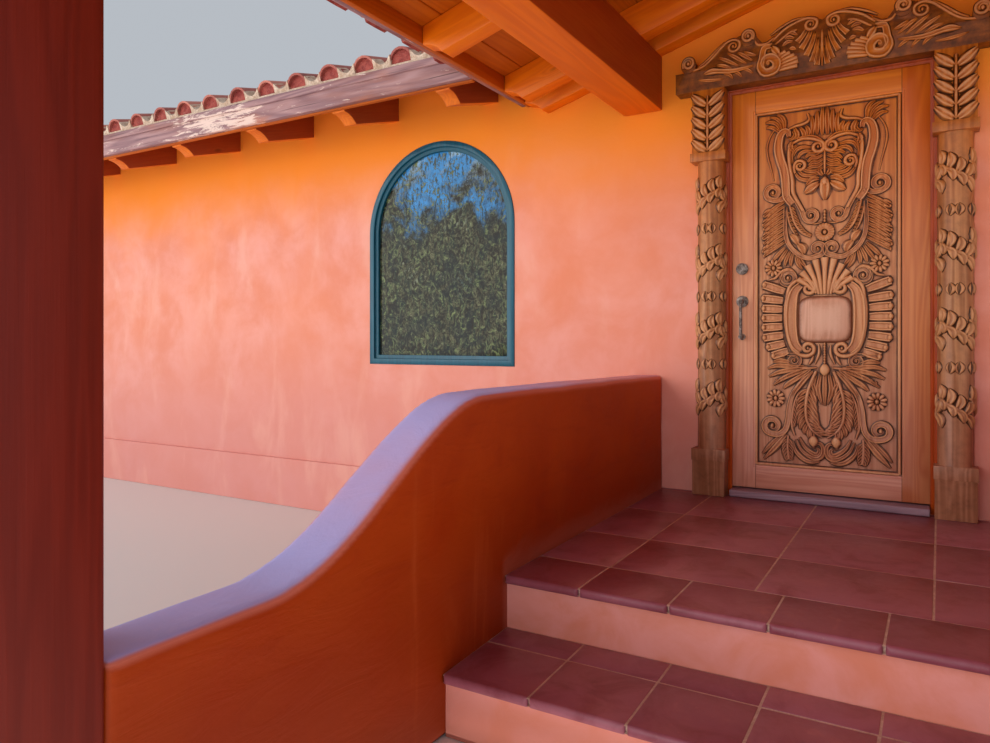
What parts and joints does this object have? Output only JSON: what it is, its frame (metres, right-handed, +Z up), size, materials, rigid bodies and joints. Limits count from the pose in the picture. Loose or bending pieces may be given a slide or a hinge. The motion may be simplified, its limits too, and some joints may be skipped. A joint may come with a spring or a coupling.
{
  "type": "adobe house",
  "caption": "Single-storey adobe house with a tiled gable roof, a gabled entrance porch between curved low walls, arched windows and a carved door that opens inwards.",
  "frame": {"origin": "on the ground under the middle of the doorway, in the face of the front wall", "axes": "+X to the right seen from the garden, +Y into the house, +Z up"},
  "size_m": [14.02, 10.447, 4.0455],
  "materials": {
    "stucco": "mottled lime plaster, matt",
    "porch_stucco": "smooth lime plaster, satin",
    "concrete": "trowelled",
    "timber": "stained orange, satin",
    "dark_timber": "stained red-brown, satin",
    "grey_timber": "weathered, bare",
    "clay_tile": "unglazed",
    "paving": "sealed clay",
    "carved_wood": "oiled, carved",
    "aged_brass": "aged",
    "teal_paint": "painted, gloss",
    "window_glass": "clear, reflecting"
  },
  "bodies": {
    "house": {"front_wall_left": "stucco", "front_wall_right": "stucco", "door_head_wall": "stucco", "back_wall": "stucco", "left_end_wall": "stucco", "right_end_wall": "stucco", "floor_slab": "concrete", "main_rafters": "timber", "ridge_beam": "timber", "front_deck_left": "timber", "front_deck_right": "timber", "back_deck": "timber", "front_tiles_left": "clay_tile", "front_tiles_right": "clay_tile", "back_tiles": "clay_tile", "ridge_tiles": "clay_tile", "front_fascias": "grey_timber", "back_fascia": "grey_timber", "barge_boards": "grey_timber", "eave_boards": "timber", "porch_base": "porch_stucco", "porch_paving": "paving", "low_wall_left": "porch_stucco", "low_wall_right": "porch_stucco", "porch_posts": "dark_timber", "porch_beam_left": "timber", "porch_beam_right": "timber", "porch_ridge_beam": "timber", "porch_rafters": "timber", "porch_deck_left": "timber", "porch_deck_right": "timber", "porch_tiles_left": "clay_tile", "porch_tiles_right": "clay_tile", "porch_ridge_tiles": "clay_tile", "porch_fascias": "grey_timber", "porch_eave_boards": "timber", "door_frame": "carved_wood", "door_threshold": "carved_wood", "door_hinges": "aged_brass", "door_columns": "carved_wood", "door_header": "carved_wood", "front_window_frames": "teal_paint", "front_window_glass": "window_glass", "rear_window_frames": "teal_paint", "rear_window_glass": "window_glass"},
    "door": {"door_leaf": "carved_wood", "door_panel": "carved_wood", "door_lockset": "aged_brass", "door_hinge_plates": "aged_brass"}
  },
  "joints": [
    {"name": "front_door", "type": "hinge", "parent": "house", "child": "door", "pos_m": [0.456, 0.0773, 1.5], "axis": [0, 0, -1], "range_deg": [0, 90]}
  ]
}
